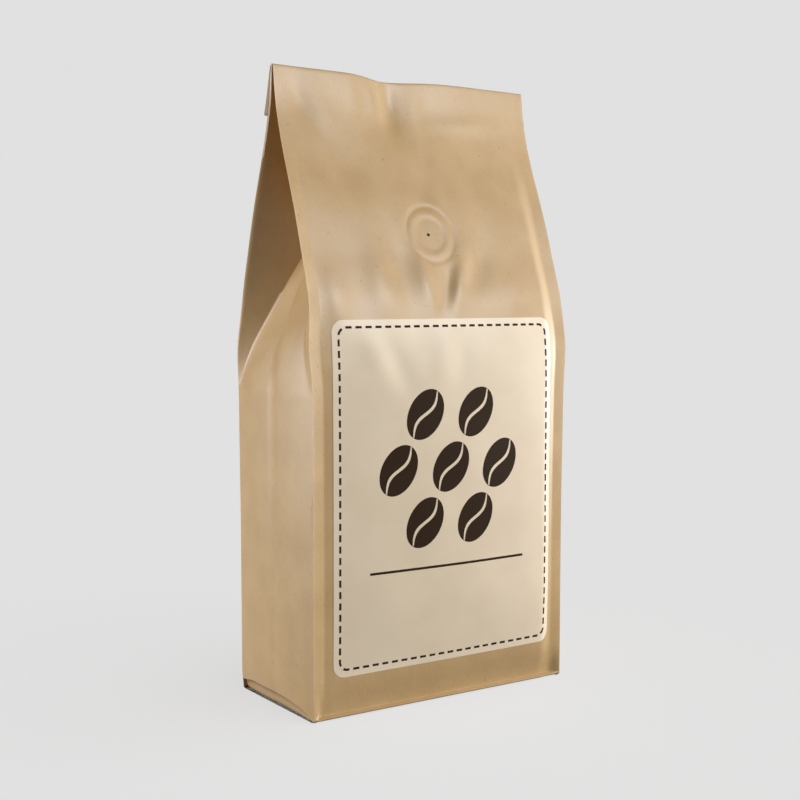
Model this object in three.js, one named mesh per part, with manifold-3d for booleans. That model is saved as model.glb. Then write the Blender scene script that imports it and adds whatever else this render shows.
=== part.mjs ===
// Coffee bag: a filled and closed paper bag with folded sides. Its top is pressed flat and folded over to
// the back, a one-way valve shows as relief in the front panel, and a paper label is stuck on below it.
// Millimetres, +Z up. The front panel faces -Y and the bag stands on its folded base at z = 0.

import * as THREE from "three";
import { mergeVertices } from "three/addons/utils/BufferGeometryUtils.js";
import Module from "manifold-3d";

const wasm = await Module();
wasm.setup();
const { clamp, lerp, smoothstep } = THREE.MathUtils;

// Bag
const WIDTH = 110; // across the front panel, crease to crease
const DEPTH = 55; // front to back at the base
const HEIGHT = 229; // floor to the crest of the folded top
const SHOULDER = 113; // height where the sides start to fold in
const SHOULDER_TOP = 150; // height where the bag is no longer filled square
const SHOULDER_EAR = 1; // how far the creases stand out just above the shoulder
const RIGHT_BASE = 1; // how much wider the right half is at the base, and above the shoulder
const RIGHT_TOP = 2.1;
const TOP_LEAN = 1.4; // how far the pressed top leans to the back

// Panels' distance from the middle plane, as [height, half depth]
const PANEL_PROFILE = [
  [0, DEPTH / 2],
  [100, DEPTH / 2 + 0.2],
  [125, DEPTH / 2 - 0.1],
  [146, 25.6],
  [164, 20.4],
  [180, 15],
  [200, 7.2],
  [214, 3],
  [HEIGHT, 0.7],
];

// Corners: each crease is a pinched edge behind its panel's level, with a long hollow beside it
const CREASE_SET_FRONT = 1.5; // how far the creases stay behind the panel's level
const CREASE_SET_BACK = 0.4;
const CREASE_SET_TOP = 0.2;
const HOLLOW_REACH = 4.6; // from the crease to the bottom of the hollow
const HOLLOW_DEPTH = 0.5;
const SWELL_REACH = 12; // from the crease to where the panel reaches its level

// Folded sides: a diagonal fold leaves each crease at the shoulder and climbs to the middle of the side
const FOLD_CLIMB = 0.41; // run along the paper for each millimetre of height
const FOLD_CLOSE_START = 200; // height where the pressed top begins to close the fold
const LIP = 0.7; // rounding of the paper at the crease
const SIDE_BULGE = 1.9; // how far the filled side swells out below the shoulder
const SIDE_CREASE = 0.4; // depth of the faint crease down the middle of the side

// Front and back panels
const PANEL_PILLOW = 1.9; // swelling in the middle of the filled part
const PILLOW_LOW = 40; // height where it is whole, and where it begins to flatten again
const PILLOW_TOP = 140;
const BACK_SWELL = 1.7; // how far the filled back stands out behind the base
const BACK_SWELL_LOW = 1; // the part of it that starts just above the base
const BUCKLE_X = -8; // a soft buckle runs down from the crest here
const BUCKLE_LEFT = 9; // its reach to the left, where it is steeper, and to the right
const BUCKLE_RIGHT = 17;
const BUCKLE_LENGTH = 32;
const BUCKLE_DEPTH = 1.2;
const CREST_DIP = 1.6;

// Base: a pinched rim along the panels, and an arched hem over the tucked paper of each side
const RIM_HEIGHT = 3.5;
const RIM_TUCK = 1.6;
const RIM_FADE = 26; // height over which a panel swells back over its rim
const HEM_HEIGHT = 5.2;
const HEM_TUCK = 2.2;
const HEM_ARCH = 24; // length of the hem's drop to the front corner
const HEM_LOW = 0.6; // its height there

// Folded top, pressed against the back panel behind the crest
const FLAP_LENGTH = 17;
const FLAP_THICKNESS = 2.9; // at its lower end
const FLAP_THICKNESS_CREST = 0.5;
const FLAP_END_DROP = 1; // its lower end slants down towards the back panel
const CREST_RADIUS = 0.4;

// Valve relief: a round groove where the valve is sealed on behind the paper, and a shallow dish inside it
const VALVE_X = 0.6;
const VALVE_Z = 170.4;
const GROOVE_RADIUS = 10.2;
const GROOVE_WIDTH = 2;
const GROOVE_DEPTH = 0.5;
const DISH_RADIUS = 6.6;
const DISH_DEPTH = 0.45;
const DISH_BEVEL = 0.9; // half the width of its sloping edge
const CUTTER_RISE = 1.5; // how far the cutting shapes stand over the panel
const PINHOLE_RADIUS = 0.55;
const PINHOLE_DEPTH = 1.5;
const PINHOLE_TURN = 0.09; // keeps its corners off the dish's own edges

// Label
const LABEL_WIDTH = 96.5;
const LABEL_HEIGHT = 125;
const LABEL_X = 0.3; // its middle
const LABEL_BOTTOM = 14.6;
const LABEL_TILT = 0.01; // it is stuck on a little crooked, its right side higher, in radians
const LABEL_CORNER = 4.5;
const LABEL_THICKNESS = 0.3;
const LABEL_GAP = 0.2;

const FRONT = -1;
const BACK = 1;
const LEFT = -1;
const RIGHT = 1;

const panelCurve = new THREE.CubicInterpolant(
  PANEL_PROFILE.map(([z]) => z),
  PANEL_PROFILE.map(([, half]) => half),
  1,
);

// 0 where the bag is filled square, 1 where its top is pressed flat
function pressed(z) {
  return smoothstep(z, SHOULDER_TOP, HEIGHT - FLAP_LENGTH);
}

function creaseSet(facing, z) {
  const low = facing === FRONT ? CREASE_SET_FRONT : CREASE_SET_BACK;
  return lerp(low, CREASE_SET_TOP, pressed(z));
}

// Height of a panel over its crease: down into the hollow beside it, then out to the panel's level
function cornerRise(facing, fromCrease, z) {
  const hollow = -HOLLOW_DEPTH * (1 - pressed(z));
  if (fromCrease < HOLLOW_REACH) return (hollow * fromCrease) / HOLLOW_REACH;
  return lerp(hollow, creaseSet(facing, z), smoothstep(fromCrease, HOLLOW_REACH, SWELL_REACH));
}

function backSwell(z) {
  const swell = lerp(BACK_SWELL_LOW, BACK_SWELL, smoothstep(z, SHOULDER / 2, SHOULDER));
  return swell * smoothstep(z, 0, 2 * RIM_HEIGHT) * (1 - smoothstep(z, SHOULDER, SHOULDER_TOP));
}

function creaseHalfDepth(facing, z) {
  const swell = facing === BACK ? backSwell(z) : 0;
  return panelCurve.evaluate(clamp(z, 0, HEIGHT))[0] + swell - creaseSet(facing, z) - crestRounding(z);
}

function halfWidth(side, z) {
  const ear = SHOULDER_EAR * Math.exp(-(((z - SHOULDER - 16) / 10) ** 2));
  if (side === LEFT) return WIDTH / 2 + ear;
  return WIDTH / 2 + lerp(RIGHT_BASE, RIGHT_TOP, smoothstep(z, SHOULDER / 2, SHOULDER_TOP)) + ear;
}

// Middle plane between the front and back panels
function lean(z) {
  return TOP_LEAN * smoothstep(z, SHOULDER, HEIGHT - FLAP_LENGTH);
}

function pillow(across, z) {
  const rise = smoothstep(z, RIM_HEIGHT, PILLOW_LOW);
  const flattening = smoothstep(z, PILLOW_TOP, HEIGHT - FLAP_LENGTH);
  return PANEL_PILLOW * rise * (1 - flattening) * (1 - across ** 2);
}

// The soft buckle in the pressed top: 1 in its valley at the crest, 0 away from it
function buckle(x, z) {
  const reach = x < BUCKLE_X ? BUCKLE_LEFT : BUCKLE_RIGHT;
  const near = Math.exp(-(((x - BUCKLE_X) / reach) ** 2));
  return near * smoothstep(z, HEIGHT - BUCKLE_LENGTH, HEIGHT);
}

// Thickness of the folded top on the back panel, from its lower end up to the crest
function flapThickness(z) {
  const down = (HEIGHT - z) / FLAP_LENGTH;
  return down > 1 ? 0 : lerp(FLAP_THICKNESS_CREST, FLAP_THICKNESS, down);
}

// How far the rounded crest draws both faces in
function crestRounding(z) {
  const rise = clamp((z - HEIGHT + CREST_RADIUS) / CREST_RADIUS, 0, 1);
  return CREST_RADIUS * (1 - Math.sqrt(1 - rise ** 2));
}

// Depth of the side fold at a height, and its ridges' distance from the middle plane.
// The paper doesn't stretch, so both follow from the crease's half depth and the fold's climb.
function sideFold(facing, z) {
  const half = creaseHalfDepth(facing, z);
  const paper = creaseHalfDepth(facing, SHOULDER);
  const ridge = paper - clamp(FOLD_CLIMB * (z - SHOULDER), 0, paper);
  const squared = paper ** 2 - half ** 2 - 2 * ridge * (paper - half);
  const closing = clamp((z - FOLD_CLOSE_START) / (HEIGHT - FOLD_CLOSE_START), 0, 1);
  const depth = Math.sqrt(Math.max(squared, 0)) * (1 - closing ** 4);
  const lip = Math.min(LIP, half / 3);
  return { half, lip, depth, ridge: clamp(ridge, half * 0.15, half - 2 * lip) };
}

function panelY(facing, across, z) {
  const edge = halfWidth(across < 0 ? LEFT : RIGHT, z);
  const rise = cornerRise(facing, edge * (1 - Math.abs(across)), z);
  const flap = facing === BACK ? flapThickness(z) : 0;
  const out = creaseHalfDepth(facing, z) + rise + pillow(across, z) + flap;
  return lean(z) + facing * out + BUCKLE_DEPTH * buckle(across * edge, z);
}

// A column of the bag's skin, on a panel: its point at a height, the height and depth of the base's tuck,
// and the share of that tuck left further up. across runs from -1 at the left crease to 1 at the right.
function panelColumn(facing, across) {
  const side = across < 0 ? LEFT : RIGHT;
  const fromCrease = (1 - Math.abs(across)) * (WIDTH / 2);
  const tuck = RIM_TUCK * smoothstep(fromCrease, 0, 4);
  return {
    lift: RIM_HEIGHT,
    tuck,
    point(z, tucked) {
      const x = across * halfWidth(side, z);
      return new THREE.Vector3(x, panelY(facing, across, z) - facing * tucked, z - CREST_DIP * buckle(x, z));
    },
    fade: (z) => 1 - smoothstep(z, RIM_HEIGHT, RIM_FADE),
  };
}

// The same on a folded side: share runs from 0 at the crease to 1 at the ridge and 2 at the side's middle.
function sideColumn(side, facing, share) {
  const fromFront = (DEPTH / 2) * (1 + facing * (1 - share / 2));
  const arch = 1 - (1 - Math.min(fromFront / HEM_ARCH, 1)) ** 2;
  return {
    lift: lerp(HEM_LOW, HEM_HEIGHT, arch),
    tuck: HEM_TUCK * arch * smoothstep(share, 0, 0.2),
    point(z, tucked) {
      const fold = sideFold(facing, z);
      const outer = fold.half - fold.lip;
      const y = share < 1 ? lerp(outer, fold.ridge, share) : lerp(fold.ridge, 0, share - 1);
      const crease = SIDE_CREASE * Math.max(share - 1, 0) ** 2;
      const inward = lerp(fold.lip / 2, fold.depth, Math.min(share, 1)) + crease;
      const filled = 1 - smoothstep(z, SHOULDER, SHOULDER_TOP);
      const bulge = SIDE_BULGE * filled * (1 - (y / fold.half) ** 2);
      const out = halfWidth(side, z) - inward + bulge - tucked;
      return new THREE.Vector3(side * out, lean(z) + facing * y, z);
    },
    fade: () => 0.1,
  };
}

// Columns round the bag, counter-clockwise from above
function skinColumns() {
  const near = [0, HOLLOW_REACH / 2, HOLLOW_REACH, lerp(HOLLOW_REACH, SWELL_REACH, 0.33)];
  const left = near.map((fromCrease) => fromCrease / (WIDTH / 2) - 1);
  const inner = 1 - (SWELL_REACH - 2) / (WIDTH / 2);
  const spread = Array.from({ length: 12 }, (_, i) => lerp(-inner, inner, i / 11));
  const acrosses = [...left, ...spread, ...left.toReversed().map((across) => -across)];
  const shares = [0, 0.33, 0.67, 1, 1.5];
  const halfSide = (side, facing) => shares.map((share) => sideColumn(side, facing, share));
  return [
    sideColumn(LEFT, FRONT, 2),
    ...halfSide(LEFT, FRONT).reverse(),
    ...acrosses.map((across) => panelColumn(FRONT, across)),
    ...halfSide(RIGHT, FRONT),
    sideColumn(RIGHT, FRONT, 2),
    ...halfSide(RIGHT, BACK).reverse(),
    ...acrosses.map((across) => panelColumn(BACK, -across)),
    ...halfSide(LEFT, BACK),
  ];
}

// Rows up the bag: four in the base fold, then level ones up to the folded top and its crest
function skinRows(columns) {
  const baseFold = [
    [0, 0],
    [0.45, 0.5],
    [0.9, 1],
  ];
  const rows = baseFold.map(([rise, tucked]) => columns.map((c) => c.point(c.lift * rise, c.tuck * tucked)));
  rows.push(columns.map((c) => c.point(c.lift, c.tuck * c.fade(c.lift))));
  for (let z = 8; z < SHOULDER - 10; z += z < RIM_FADE ? 6 : 12) {
    rows.push(columns.map((c) => c.point(z, c.tuck * c.fade(z))));
  }
  const flapEnd = HEIGHT - FLAP_LENGTH;
  for (let z = SHOULDER - 8; z < flapEnd - 2; z += 4) {
    rows.push(columns.map((c) => c.point(z, 0)));
  }
  const top = [flapEnd - FLAP_END_DROP, flapEnd, flapEnd + 4, flapEnd + 8, flapEnd + 12];
  const crest = [0, 0.6, 1].map((rise) => HEIGHT - CREST_RADIUS * (1 - rise));
  for (const z of [...top, ...crest]) rows.push(columns.map((c) => c.point(z, 0)));
  return rows;
}

// A closed skin from rows of points: quads between rows, and a strip of quads across each end row.
// A row starts at the left and comes home along the back, so its ends pair up from both sides.
function skinGeometry(rows) {
  const width = rows[0].length;
  const indices = [];
  const quad = (a, b, c, d) => indices.push(a, b, c, a, c, d);
  for (let row = 0; row + 1 < rows.length; row++) {
    for (let i = 0; i < width; i++) {
      const a = row * width + i;
      const b = row * width + ((i + 1) % width);
      quad(a, b, b + width, a + width);
    }
  }
  const last = (rows.length - 1) * width;
  for (let i = 0; i + 1 < width / 2; i++) {
    const opposite = width - 1 - i;
    quad(i, opposite, opposite - 1, i + 1);
    quad(last + i, last + i + 1, last + opposite - 1, last + opposite);
  }
  const geometry = new THREE.BufferGeometry().setFromPoints(rows.flat());
  return geometry.setIndex(indices);
}

// Turns a piece made round +Y, with y = 0 on the panel, to stand on the front panel at the valve
function seatOnValve(geometry) {
  const step = 4;
  const across = VALVE_X / halfWidth(RIGHT, VALVE_Z);
  const slope = (panelY(FRONT, across, VALVE_Z + step) - panelY(FRONT, across, VALVE_Z - step)) / (2 * step);
  const outward = new THREE.Vector3(0, -1, slope).normalize();
  const turn = new THREE.Quaternion().setFromUnitVectors(new THREE.Vector3(0, 1, 0), outward);
  const seat = new THREE.Vector3(VALVE_X, panelY(FRONT, across, VALVE_Z), VALVE_Z);
  return geometry.applyQuaternion(turn).translate(...seat);
}

// Shapes that are cut out of the panel, each turned round the valve's axis from a profile of [radius, height]
function latheCutter(profile) {
  return seatOnValve(new THREE.LatheGeometry(profile.map(([r, h]) => new THREE.Vector2(r, h)), 36));
}

function grooveCutter() {
  const flare = (GROOVE_WIDTH / 2) * (1 + CUTTER_RISE / GROOVE_DEPTH);
  return latheCutter([
    [GROOVE_RADIUS, -GROOVE_DEPTH],
    [GROOVE_RADIUS + flare, CUTTER_RISE],
    [GROOVE_RADIUS - flare, CUTTER_RISE],
    [GROOVE_RADIUS, -GROOVE_DEPTH],
  ]);
}

function dishCutter() {
  const flare = DISH_BEVEL * (1 + (2 * CUTTER_RISE) / DISH_DEPTH);
  return latheCutter([
    [0, -DISH_DEPTH],
    [DISH_RADIUS - DISH_BEVEL, -DISH_DEPTH],
    [DISH_RADIUS + flare, CUTTER_RISE],
    [0, CUTTER_RISE],
  ]);
}

function pinholeCutter() {
  const depth = DISH_DEPTH + PINHOLE_DEPTH;
  const pin = new THREE.CylinderGeometry(PINHOLE_RADIUS, PINHOLE_RADIUS, depth * 2, 12);
  return seatOnValve(pin.rotateY(PINHOLE_TURN));
}

// three.js geometry to a manifold-3d solid, and back
function toSolid(geometry) {
  const bare = geometry.clone();
  bare.deleteAttribute("normal");
  bare.deleteAttribute("uv");
  const merged = mergeVertices(bare, 1e-3);
  return new wasm.Manifold(
    new wasm.Mesh({
      numProp: 3,
      vertProperties: new Float32Array(merged.getAttribute("position").array),
      triVerts: new Uint32Array(merged.index.array),
    }),
  );
}

function toGeometry(solid) {
  const { numProp, vertProperties, triVerts } = solid.getMesh();
  const points = [];
  for (let i = 0; i < vertProperties.length; i += numProp) {
    points.push(new THREE.Vector3(...vertProperties.subarray(i, i + 3)));
  }
  return new THREE.BufferGeometry().setFromPoints(points).setIndex([...triVerts]);
}

function bagGeometry() {
  const skin = toSolid(skinGeometry(skinRows(skinColumns())));
  const cutters = [grooveCutter(), dishCutter(), pinholeCutter()].map(toSolid);
  return toGeometry(cutters.reduce((bag, cutter) => bag.subtract(cutter), skin));
}

// Heights of the label's rows: close together round the corners, wider between them
function labelHeights() {
  const corner = Array.from({ length: 5 }, (_, i) => LABEL_CORNER * (1 - Math.cos((i / 4) * (Math.PI / 2))));
  const straight = LABEL_HEIGHT - 2 * LABEL_CORNER;
  const middle = Array.from({ length: 24 }, (_, i) => LABEL_CORNER + (straight * (i + 1)) / 25);
  return [...corner, ...middle, ...corner.toReversed().map((height) => LABEL_HEIGHT - height)];
}

// A thin sheet that follows the front panel: each row runs out along its face and home along its back
function labelGeometry() {
  const steps = 20;
  const rows = labelHeights().map((height) => {
    const fromEnd = Math.min(height, LABEL_HEIGHT - height, LABEL_CORNER);
    const cut = LABEL_CORNER - Math.sqrt(LABEL_CORNER ** 2 - (LABEL_CORNER - fromEnd) ** 2);
    const half = LABEL_WIDTH / 2 - cut;
    const row = (stand) =>
      Array.from({ length: steps + 1 }, (_, i) => {
        const x = LABEL_X - half * Math.cos((i / steps) * Math.PI);
        const z = LABEL_BOTTOM + height + LABEL_TILT * (x - LABEL_X);
        const across = x / halfWidth(x < 0 ? LEFT : RIGHT, z);
        return new THREE.Vector3(x, panelY(FRONT, across, z) - stand, z);
      });
    return [...row(LABEL_GAP + LABEL_THICKNESS), ...row(LABEL_GAP).reverse()];
  });
  return skinGeometry(rows);
}

function paperMesh(name, geometry, color, roughness) {
  const mesh = new THREE.Mesh(geometry, new THREE.MeshStandardMaterial({ color, roughness, metalness: 0 }));
  mesh.name = name;
  return mesh;
}

const bag = paperMesh("bag", bagGeometry(), "#c4a57d", 0.85);
const label = paperMesh("label", labelGeometry(), "#e3d7c2", 0.7);

const group = new THREE.Group();
group.add(bag, label);

// The origin is on the floor, under the middle of the whole.
const box = new THREE.Box3().setFromObject(group);
const middle = box.getCenter(new THREE.Vector3());
for (const mesh of [bag, label]) mesh.geometry.translate(-middle.x, -middle.y, -box.min.z);

export default group;
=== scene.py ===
# Coffee bag: the looks of a filled kraft paper bag with folded sides, a folded top and a cream label.
# Sizes are in millimetres round the middle of the bag's base, and metres once they are on the frame.

import math
from itertools import accumulate

import bpy
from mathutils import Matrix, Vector, noise


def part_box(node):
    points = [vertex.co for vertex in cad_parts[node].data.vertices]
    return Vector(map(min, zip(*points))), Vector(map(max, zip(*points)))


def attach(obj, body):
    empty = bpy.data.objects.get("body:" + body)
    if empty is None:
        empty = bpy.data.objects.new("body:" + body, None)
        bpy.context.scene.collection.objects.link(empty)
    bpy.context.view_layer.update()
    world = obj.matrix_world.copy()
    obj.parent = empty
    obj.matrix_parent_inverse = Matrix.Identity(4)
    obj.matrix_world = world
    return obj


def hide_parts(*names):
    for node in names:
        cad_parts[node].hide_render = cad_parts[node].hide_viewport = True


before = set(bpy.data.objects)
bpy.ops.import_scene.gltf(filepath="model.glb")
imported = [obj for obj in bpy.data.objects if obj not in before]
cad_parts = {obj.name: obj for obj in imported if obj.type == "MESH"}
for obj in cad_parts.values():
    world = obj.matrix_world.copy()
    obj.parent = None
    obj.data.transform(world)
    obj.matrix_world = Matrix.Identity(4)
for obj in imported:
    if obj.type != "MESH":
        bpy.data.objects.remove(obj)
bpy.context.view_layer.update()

MM = 0.001
FRONT, BACK = -1, 1
LEFT, RIGHT = -1, 1

# Bag
WIDTH = 110  # across the front panel, crease to crease
DEPTH = 55  # front to back at the base
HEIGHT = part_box("bag")[1].z / MM
SHOULDER = 113  # height where the sides start to fold in
SHOULDER_TOP = 150  # height where the bag is no longer filled square
SHOULDER_EAR = 1  # how far the creases stand out just above the shoulder
RIGHT_BASE = 1  # how much wider the right half is at the base, and above the shoulder
RIGHT_TOP = 2.1
TOP_LEAN = 1.4  # how far the pressed top leans to the back
# A panel's distance from the bag's middle plane at each height, as (height, distance)
PANEL_PROFILE = [
    (0, 27.5),
    (100, 27.7),
    (125, 27.4),
    (146, 25.6),
    (164, 20.4),
    (180, 15),
    (200, 7.2),
    (214, 3),
    (HEIGHT, 0.7),
]

# Corners
CREASE_SET_FRONT = 1.5  # how far the creases stay behind the panel's level
CREASE_SET_BACK = 0.4
CREASE_SET_TOP = 0.2
CREASE_SET_LEFT = 1.5
CREASE_SET_RIGHT = 1.1
LOW_LEFT = 2.7  # how far the front panel's left end lies behind its level
LOW_RISE = 16  # height over the floor where it has come to lie there
HOLLOW_REACH = 4.8  # from the crease to the bottom of the hollow beside it
HOLLOW_RIGHT = 0.4
HOLLOW_BACK = 0.3
SWELL_REACH = 11  # from the crease to where the panel reaches its level
EDGE_CALM = 12  # distance from a crease within which dents and waves die out
CREASE_WEAR_AND_HIGHLIGHT = 0.9  # width of the paler band on a crease: rubbed paper, and a painted highlight where the crease catches light

# Folded sides
FOLD_CLIMB = 0.41  # run along the paper for each millimetre of height
FOLD_CLOSE_START = 200  # height where the pressed top begins to close the fold
SHEETS_MEET = 203  # from here up the back sheet follows the front one's dents
LIP = 0.7  # rounding of the paper at the crease
SIDE_BULGE = 1.9  # how far the filled side swells out below the shoulder
BULGE_LOW = 14  # height where the side has swollen out
SIDE_CREASE = 0.4  # depth of the faint crease down the middle of the side
SIDE_LINE_DEPTH = 0.35  # the pressed line down the middle of the filled side
SIDE_LINE_WIDTH = 1.6

# Panels
PANEL_PILLOW = 2.6  # swelling in the middle of the filled part
PILLOW_LOPSIDED = 0.35  # how far the front panel's fullest place lies to the right
PILLOW_START = 3.5  # heights where it begins, where it is whole, and where it has flattened again
PILLOW_LOW = 40
PILLOW_TOP = 172
BACK_SWELL = 1.7  # how far the filled back stands out behind the base, and just above the base
BACK_SWELL_LOW = 1
BUCKLE_X = -8  # a soft buckle runs down from the crest here, with its reaches to the left and right
BUCKLE_LEFT = 9
BUCKLE_RIGHT = 17
BUCKLE_LENGTH = 32
BUCKLE_DEPTH = 1.2
CREST_DIP = 1.6
CREST_RADIUS = 0.4
WAVE_SIZE = 22  # slow unevenness of the filled paper
WAVE_DEPTH = 0.22

# Base
RIM_HEIGHT = 1.7
RIM_TUCK = 1.3  # how far a panel is set in over its rim
RIM_CORNER = 4  # distance from a crease over which the rim dies out
RIM_FADE = 13  # height where a panel has swollen back over its rim
WAVE_FADE = 26  # height where the paper's slow waves have come to their full depth
HEM_HEIGHT = 5.2
OVER_HEM = 5.7  # height from which the rows of points run level
HEM_TUCK = 1.1  # how far the paper under the hem is set in
HEM_UNDER = 0.4  # how much further the set-in paper leans in at the floor
FOOT_RISE = 0.8  # the base's edge curls up from the floor by this much
FOOT_INSET = 1.4
HEM_ARCH = 24  # length of the hem's drop to the front corner, and its height there
HEM_LOW = 1
HEM_CORNER = 0.8  # distance from the back crease over which the hem dies out
HEM_BACK = 0.7  # share of the hem's height at its back end
HEM_SHADE = 0.12  # how shaded the set-in paper is at the floor
FOOT_SHADE = 0.8  # how shaded the base's edge is where it curls in

# Folded top
FLAP_LENGTH = 17
FLAP_THICKNESS = 2.9
FLAP_THICKNESS_CREST = 0.5
FLAP_GAP = 0.25
FLAP_LAYERS = 4
FLAP_NOTCH = 0.35  # depth of the gaps between the paper layers at its edges

# Valve relief
VALVE_X = 0.6
VALVE_Z = 170.4
PINHOLE = (-0.2, 170.2)
GROOVE_RADIUS = 10.2
GROOVE_WIDTH = 2
GROOVE_DEPTH = 0.2
DISH_RADIUS = 6.6
DISH_DEPTH = 0.2
DISH_BEVEL = 1.1
PINHOLE_RADIUS = 0.65

# Dents in the front panel as (x, z, half width, half length, turn from upright in degrees, depth): a
# depth below 0 stands out
DENTS = [
    (-14.5, 155, 4.2, 13, 4, 0.55),
    (3.5, 150, 3.8, 9, -20, 0.9),
    (-5.5, 154, 3.4, 9, 4, -0.6),
    (9.5, 154, 3.4, 12, -26, -0.7),
    (20, 158, 5, 13, -20, 0.6),
    (-25, 155, 5, 12, 6, -0.5),
    (-34, 146, 5, 10, 8, 0.22),
    (-44, 147, 4.5, 12, 5, -0.4),
    (-30, 128, 5, 9, 20, -0.35),
    (-20, 122, 4.5, 10, 24, 0.35),
    (-2, 128, 4, 9, -14, -0.3),
    (7, 124, 4, 9, -16, 0.3),
    (34, 150, 7, 12, -16, -0.4),
    (-47, 218, 5, 12, 40, 0.5),
    (-37, 214, 6, 9, 34, -0.4),
    (-24, 220, 5, 14, 0, -0.35),
    (-13.5, 219, 3.5, 10, 2, -0.5),
    (-6, 220, 3.2, 9, 0, 0.5),
    (4, 218, 4, 9, 0, -0.4),
    (30, 214, 16, 3.5, 4, -0.35),
    (-30, 190, 12, 14, 20, 0.35),
    (2, 189, 5, 14, -20, 0.3),
]

# Label
LABEL_WIDTH = 95.6
LABEL_HEIGHT = 125
LABEL_X = 1.1
LABEL_DRAWN_X = 0.3  # where the CAD part draws it
LABEL_BOTTOM = 14.6
LABEL_TILT = 0.01
LABEL_CORNER = 4.5
LABEL_THICKNESS = 0.06
LABEL_GAP = 0.03
MARGIN_SOFT = 0.6  # half the width over which the paler margin outside the dashes ends
DASH_INSET = 2.6
DASH_WIDTH = 0.85
DASH_PITCH = 4.0
DASH_STEPS = 8  # steps from one dash to the next
DASH_DRAWN = 5  # how many of them are inked
BORDER_STEP = 0.4
PRINT_LIFT = 0.02  # how far the ink stands over the label

# Beans printed on the label, in staggered rows, over a thin rule
BEAN_LENGTH = 19.5
BEAN_WIDTH = 14
BEAN_TURN = 32
BEAN_CLEFT = 1.3
BEAN_ROWS = (2, 3, 2)
BEAN_PITCH_X = 22
BEAN_PITCH_Z = 19.5
BEANS_MIDDLE = 86
RULE_LENGTH = 67
RULE_HEIGHT = 0.9
RULE_Z = 50

PAPER_SHINE = 0.72
INK_SHINE = 0.09
SHARP_ANGLE = 50

# Camera
CAMERA_PLACE = (-273.1, -403.4, 140.25)
CAMERA_HEADING = 33.93  # degrees to the right of straight at the front panel
CAMERA_PITCH = -3.71
FOCAL_PIXELS = 1284
PICTURE_PIXELS = 800
SENSOR = 36

# Stage
BACKGROUND = 0.752  # the even grey behind the bag
FILL = 0.03  # even light on the bag from all round
FLOOR_SHADE = 0.2
FLOOR_SHADOW = 0.095  # how much of the floor's brightness the bag can take away beside it
FLOOR_LIGHT = (40, 66, 60)  # azimuth, elevation and width, in degrees, of the wide light on the floor
FLOOR_SIZE = 60  # this, and the lights' distance and sizes, are in metres
LIGHT_DISTANCE = 1.0
LIGHTS = [
    # name, degrees to the right of straight before the front panel, degrees above the floor, size, watts
    ("side_light", -120, 10, 0.6, 10.1),
    ("front_light", 25, 24, 0.3, 6.4),
    ("right_light", 78, 24, 0.6, 3.6),
    ("low_light", 68, 1, 0.22, 5.9),
]


def clamp(value, low=0.0, high=1.0):
    return min(max(value, low), high)


def lerp(a, b, share):
    return a + (b - a) * share


def smoothstep(value, low, high):
    t = clamp((value - low) / (high - low))
    return t * t * (3 - 2 * t)


def spaced(low, high, step):
    """Evenly spaced values from low up to, but without, high, about a step apart."""
    count = max(1, round((high - low) / step))
    return [lerp(low, high, i / count) for i in range(count)]


class Curve:
    """Smooth curve through points (at, value): each bend is a cubic with the slopes of its neighbours."""

    def __init__(self, points):
        self.points = points
        self.slopes = []
        last = len(points) - 1
        for i in range(len(points)):
            (a, low), (b, high) = points[max(i - 1, 0)], points[min(i + 1, last)]
            self.slopes.append((high - low) / (b - a))

    def __call__(self, at):
        at = clamp(at, self.points[0][0], self.points[-1][0])
        i = next(i for i in range(len(self.points) - 1) if at <= self.points[i + 1][0])
        (a, low), (b, high) = self.points[i], self.points[i + 1]
        span = b - a
        t = (at - a) / span
        rise = (2 * t**3 - 3 * t**2 + 1) * low + (3 * t**2 - 2 * t**3) * high
        bend = (t**3 - 2 * t**2 + t) * self.slopes[i] + (t**3 - t**2) * self.slopes[i + 1]
        return rise + bend * span


panel_curve = Curve(PANEL_PROFILE)


# Shape of the bag

def pressed(z):
    """0 where the bag is filled square, 1 where its top is pressed flat."""
    return smoothstep(z, SHOULDER_TOP, HEIGHT - FLAP_LENGTH)


def crease_set(facing, z):
    """How far a crease stays behind its panel's level."""
    low = CREASE_SET_FRONT if facing == FRONT else CREASE_SET_BACK
    return lerp(low, CREASE_SET_TOP, pressed(z))


def filled(z):
    """1 where the bag is filled square, 0 from its sloping shoulder up."""
    return 1 - smoothstep(z, SHOULDER, SHOULDER_TOP)


def edge_drop(facing, across, from_crease, z):
    """How far a panel falls back below its open level, by the distance from its crease."""
    near = min(from_crease / HOLLOW_REACH, 1)
    out = smoothstep(from_crease, HOLLOW_REACH, SWELL_REACH)
    if facing == BACK:
        drop = (CREASE_SET_BACK + HOLLOW_BACK * near) * (1 - out)
    else:
        place = (across + 1) / 2
        at_base = lerp(CREASE_SET_LEFT, CREASE_SET_RIGHT, place)
        low = lerp(at_base, LOW_LEFT * (1 - place), smoothstep(z, 0, LOW_RISE))
        if across < 0:
            drop = lerp(CREASE_SET_LEFT, low, near)
        else:
            drop = lerp(CREASE_SET_RIGHT + HOLLOW_RIGHT * near, low, out)
    return lerp(drop, CREASE_SET_TOP, pressed(z))


def back_swell(z):
    swell = lerp(BACK_SWELL_LOW, BACK_SWELL, smoothstep(z, SHOULDER / 2, SHOULDER))
    return swell * smoothstep(z, 0, 2 * PILLOW_START) * (1 - smoothstep(z, SHOULDER, SHOULDER_TOP))


def crest_rounding(z):
    rise = clamp((z - HEIGHT + CREST_RADIUS) / CREST_RADIUS)
    return CREST_RADIUS * (1 - math.sqrt(1 - rise**2))


def crease_half_depth(facing, z):
    swell = back_swell(z) if facing == BACK else 0
    return panel_curve(z) + swell - crease_set(facing, z) - crest_rounding(z)


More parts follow.
